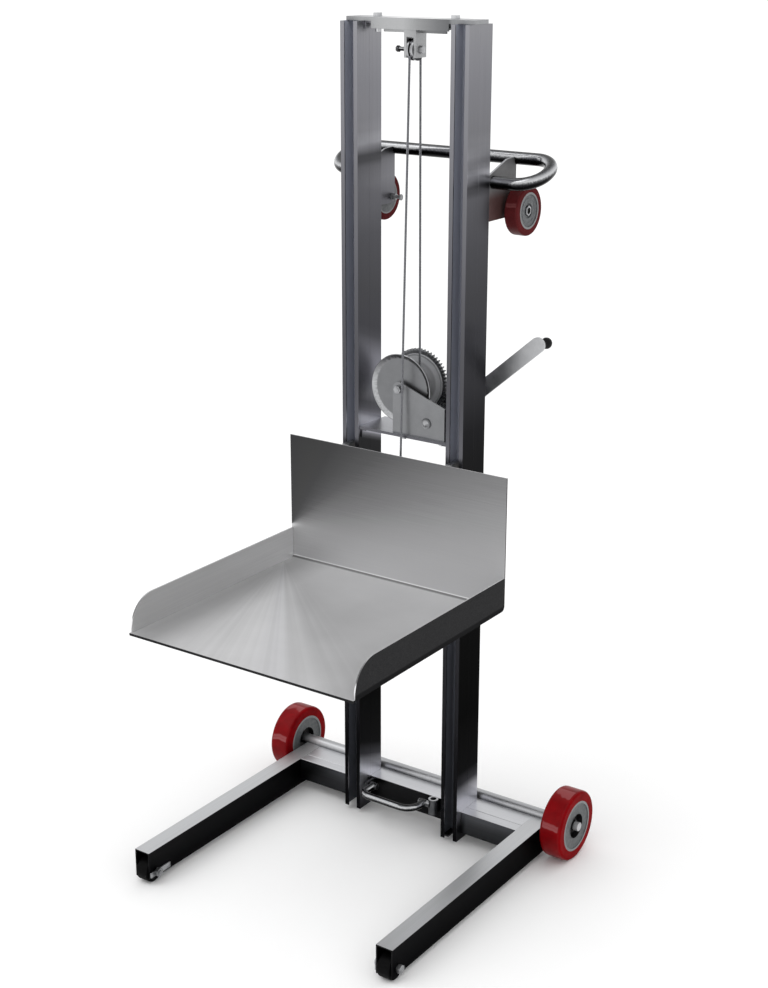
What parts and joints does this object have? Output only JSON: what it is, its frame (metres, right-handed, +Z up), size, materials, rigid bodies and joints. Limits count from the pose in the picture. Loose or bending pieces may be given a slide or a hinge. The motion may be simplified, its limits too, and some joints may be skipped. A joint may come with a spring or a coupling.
{
  "type": "hand pallet stacker",
  "caption": "Hand winch lift stacker: two-column mast, wheeled fork base, sheet metal tray raised by cable, tilted loop handle and upper wheels.",
  "frame": {"origin": "middle of the overall footprint at floor height, under the wheels", "axes": "+X to the right seen from the tray side, -Y towards the open front of the tray, +Z up"},
  "size_m": [0.782, 0.7674, 1.732],
  "materials": {
    "anodised_aluminium": "satin anodised extrusion",
    "base_aluminium": "satin anodised tube",
    "chrome": "polished chrome plate",
    "stainless": "brushed stainless sheet",
    "zinc_steel": "zinc plated pressed steel",
    "dark_steel": "dark phosphated steel",
    "wire_rope": "galvanised wire rope",
    "red_tread": "gloss red polyurethane tread",
    "maroon_tread": "satin maroon polyurethane tread",
    "grey_hub": "moulded grey hub",
    "black_plastic": "moulded black plastic",
    "white_nylon": "natural nylon"
  },
  "bodies": {
    "frame": {"left_leg": "base_aluminium", "right_leg": "base_aluminium", "cross_member": "base_aluminium", "front_strips": "base_aluminium", "axle_saddle": "base_aluminium", "rear_axle": "chrome", "axle_washers": "chrome", "left_rail": "anodised_aluminium", "right_rail": "anodised_aluminium", "mast_tubes": "anodised_aluminium", "rail_stops": "zinc_steel", "top_bridge": "base_aluminium", "column_brackets": "anodised_aluminium", "frame_bolts": "zinc_steel", "pulley_clevis": "base_aluminium", "sheave_bolt": "dark_steel", "handle_tube": "chrome", "wheel_gussets": "anodised_aluminium", "upper_axle_bolts": "chrome", "winch_shelf": "zinc_steel", "winch_frame": "zinc_steel", "drum_shaft": "zinc_steel", "pawl_pin": "zinc_steel", "cable_rear_run": "wire_rope", "front_roller_bolts": "zinc_steel", "bail_ear": "zinc_steel", "bail_bolts": "zinc_steel", "post_sleeve": "zinc_steel", "cable_front_run": "wire_rope"},
    "sheave": {"sheave": "dark_steel"},
    "drum": {"winch_drum": "zinc_steel", "drum_gear": "zinc_steel", "cable_winding": "wire_rope"},
    "crank": {"pinion_shaft": "zinc_steel", "brake_discs": "dark_steel", "ratchet_wheel": "zinc_steel", "crank_arm": "zinc_steel", "crank_nut": "zinc_steel", "grip_pin": "zinc_steel"},
    "grip": {"grip": "black_plastic"},
    "pawl": {"pawl": "zinc_steel"},
    "carriage": {"tray_sheet": "stainless", "tray_side_walls": "stainless", "carriage_arms": "stainless", "carriage_bar": "stainless", "roller_pins": "zinc_steel", "cable_anchor": "zinc_steel"},
    "upper_rollers": {"upper_carriage_rollers": "white_nylon"},
    "lower_rollers": {"lower_carriage_rollers": "white_nylon"},
    "left_rear_wheel": {"left_rear_tyre": "red_tread", "left_rear_hub": "grey_hub"},
    "right_rear_wheel": {"right_rear_tyre": "red_tread", "right_rear_hub": "grey_hub"},
    "left_front_wheel": {"left_front_roller": "black_plastic"},
    "right_front_wheel": {"right_front_roller": "black_plastic"},
    "left_upper_wheel": {"left_upper_tyre": "maroon_tread", "left_upper_hub": "grey_hub"},
    "right_upper_wheel": {"right_upper_tyre": "maroon_tread", "right_upper_hub": "grey_hub"},
    "bail": {"foot_bail": "chrome"}
  },
  "joints": [
    {"name": "carriage_slide", "type": "slide", "parent": "frame", "child": "carriage", "axis": [0, 0, 1], "range_m": [-0.497, 0.82], "deforming": ["cable_front_run"]},
    {"name": "drum_turn", "type": "hinge", "parent": "frame", "child": "drum", "pos_m": [-0.012, 0.20631, 0.9965], "axis": [0, 1, 0], "range_deg": [-1038, 1711]},
    {"name": "crank_turn", "type": "hinge", "parent": "frame", "child": "crank", "pos_m": [0.055, 0.26331, 0.93455], "axis": [0, 1, 0], "range_deg": [-4858, 2945]},
    {"name": "sheave_turn", "type": "hinge", "parent": "frame", "child": "sheave", "pos_m": [0, 0.20056, 1.666], "axis": [1, 0, 0], "range_deg": [-2508, 1521]},
    {"name": "upper_rollers_turn", "type": "hinge", "parent": "carriage", "child": "upper_rollers", "pos_m": [0, 0.17994, 0.843], "axis": [1, 0, 0], "range_deg": [-1625, 2680]},
    {"name": "lower_rollers_turn", "type": "hinge", "parent": "carriage", "child": "lower_rollers", "pos_m": [0, 0.17994, 0.617], "axis": [1, 0, 0], "range_deg": [-2680, 1625]},
    {"name": "grip_turn", "type": "hinge", "parent": "crank", "child": "grip", "pos_m": [0.24396, 0.29331, 1.09824], "axis": [0, 1, 0], "continuous": true},
    {"name": "pawl_swing", "type": "hinge", "parent": "frame", "child": "pawl", "pos_m": [0.031, 0.25831, 0.96155], "axis": [0, 1, 0], "range_deg": [-25, 0]},
    {"name": "left_rear_wheel_turn", "type": "hinge", "parent": "frame", "child": "left_rear_wheel", "pos_m": [-0.3595, 0.26331, 0.0762], "axis": [1, 0, 0], "continuous": true},
    {"name": "right_rear_wheel_turn", "type": "hinge", "parent": "frame", "child": "right_rear_wheel", "pos_m": [0.3595, 0.26331, 0.0762], "axis": [1, 0, 0], "continuous": true},
    {"name": "left_front_wheel_turn", "type": "hinge", "parent": "frame", "child": "left_front_wheel", "pos_m": [-0.305, -0.32069, 0.0254], "axis": [1, 0, 0], "continuous": true},
    {"name": "right_front_wheel_turn", "type": "hinge", "parent": "frame", "child": "right_front_wheel", "pos_m": [0.305, -0.32069, 0.0254], "axis": [1, 0, 0], "continuous": true},
    {"name": "left_upper_wheel_turn", "type": "hinge", "parent": "frame", "child": "left_upper_wheel", "pos_m": [-0.1713, 0.33371, 1.3557], "axis": [1, 0, 0], "continuous": true},
    {"name": "right_upper_wheel_turn", "type": "hinge", "parent": "frame", "child": "right_upper_wheel", "pos_m": [0.1713, 0.33371, 1.3557], "axis": [1, 0, 0], "continuous": true},
    {"name": "bail_swing", "type": "hinge", "parent": "frame", "child": "bail", "pos_m": [-0.0195, 0.18129, 0.064], "axis": [1, 0, 0], "range_deg": [-15, 30]}
  ],
  "couplings": [
    {"joint": "drum_turn", "follows": "carriage_slide", "rad_per_m": 36.364},
    {"joint": "crank_turn", "follows": "carriage_slide", "rad_per_m": -103.35},
    {"joint": "sheave_turn", "follows": "carriage_slide", "rad_per_m": -53.333},
    {"joint": "upper_rollers_turn", "follows": "carriage_slide", "rad_per_m": 56.98},
    {"joint": "lower_rollers_turn", "follows": "carriage_slide", "rad_per_m": -56.98}
  ]
}
